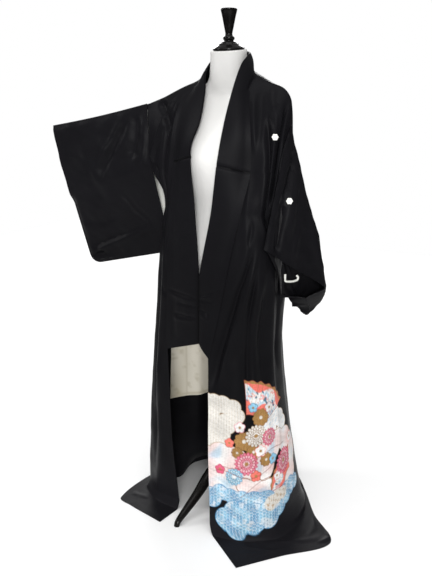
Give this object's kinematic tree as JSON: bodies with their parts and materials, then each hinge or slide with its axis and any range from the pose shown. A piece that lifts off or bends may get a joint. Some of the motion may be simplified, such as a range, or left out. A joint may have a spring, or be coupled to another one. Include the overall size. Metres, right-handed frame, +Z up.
{
  "type": "kurotomesode kimono on a limbless dress form",
  "caption": "Black formal kimono hanging open on a white dress form, one sleeve held out, the other hanging, hem trailing on the floor.",
  "frame": {"origin": "on the floor, under the middle of the bounding box", "axes": "+Z up, the front faces -Y, the wearer's left is +X"},
  "size_m": [1.0676, 0.6922, 1.6506],
  "materials": {
    "black_silk": "black silk crepe, soft sheen",
    "white_silk": "ivory plain silk",
    "jersey": "white knit cover",
    "black_lacquer": "black gloss lacquer",
    "dark_steel": "dark satin"
  },
  "bodies": {
    "root": {"body_left": "black_silk", "body_right": "black_silk", "overlap_left": "black_silk", "overlap_right": "black_silk", "collar": "black_silk", "over_collar": "black_silk", "lining_left": "white_silk", "lining_right": "white_silk", "facing_left": "black_silk", "facing_right": "black_silk", "sleeve_left": "black_silk", "sleeve_right": "black_silk", "sleeve_lining_left": "white_silk", "sleeve_lining_right": "white_silk", "torso": "jersey", "neck_cap": "black_lacquer", "pole": "dark_steel", "hub": "black_lacquer", "leg_1": "black_lacquer", "leg_2": "black_lacquer", "leg_3": "black_lacquer"}
  },
  "joints": []
}
